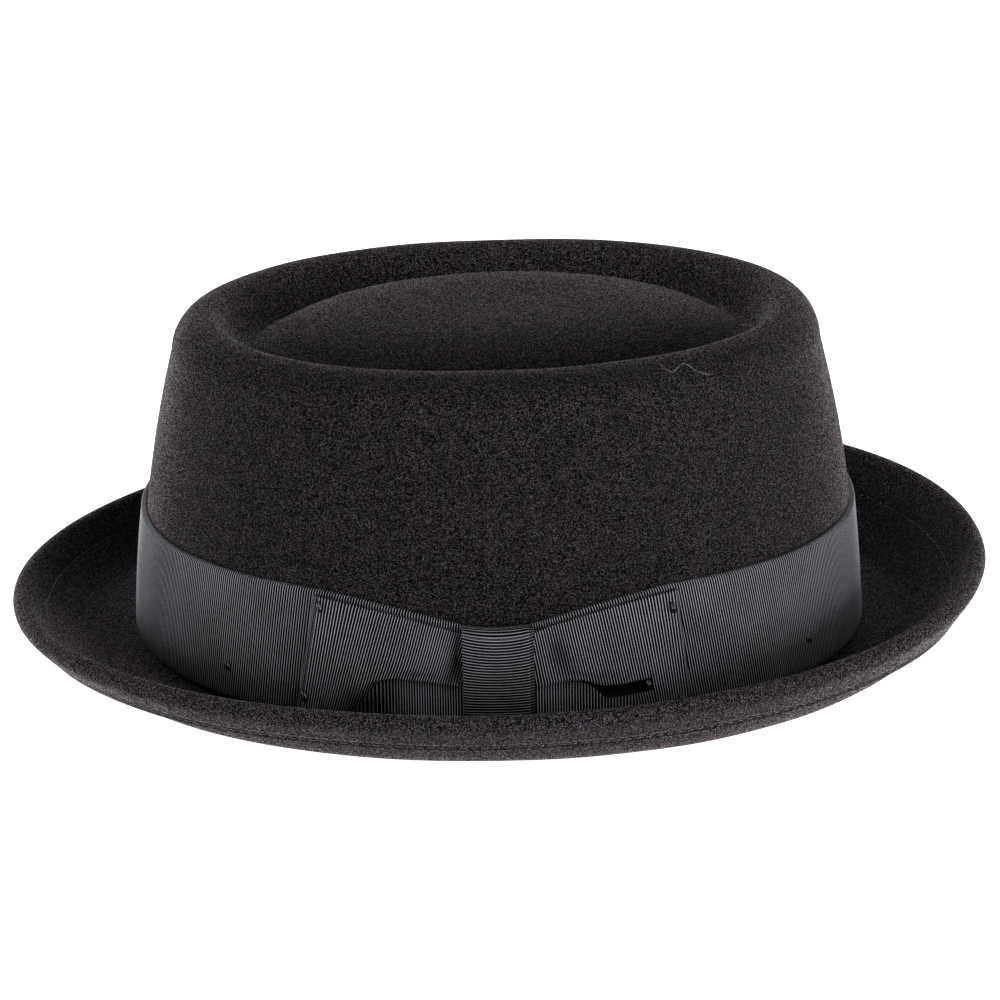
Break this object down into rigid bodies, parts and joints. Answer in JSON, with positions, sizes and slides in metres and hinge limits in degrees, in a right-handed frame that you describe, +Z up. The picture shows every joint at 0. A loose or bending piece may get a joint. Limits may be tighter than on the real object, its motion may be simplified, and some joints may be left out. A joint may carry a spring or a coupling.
{
  "type": "porkpie hat",
  "caption": "Felt porkpie hat with a telescoped flat crown, narrow curled brim, grosgrain band and a flat pinched bow at the side.",
  "frame": {"origin": "under the middle of the brim's outline, on the surface that the hat rests on", "axes": "+X towards the back of the hat, -Y towards the wearer's left, where the bow is, +Z up"},
  "size_m": [0.2756, 0.2344, 0.0981],
  "materials": {
    "felt": "dense black wool felt, brushed, slightly fuzzy",
    "grosgrain": "black grosgrain ribbon, fine cross ribs, soft satin sheen"
  },
  "bodies": {
    "root": {"felt_body": "felt", "hat_band": "grosgrain", "bow_ribbon": "grosgrain", "bow_knot": "grosgrain"}
  },
  "joints": []
}
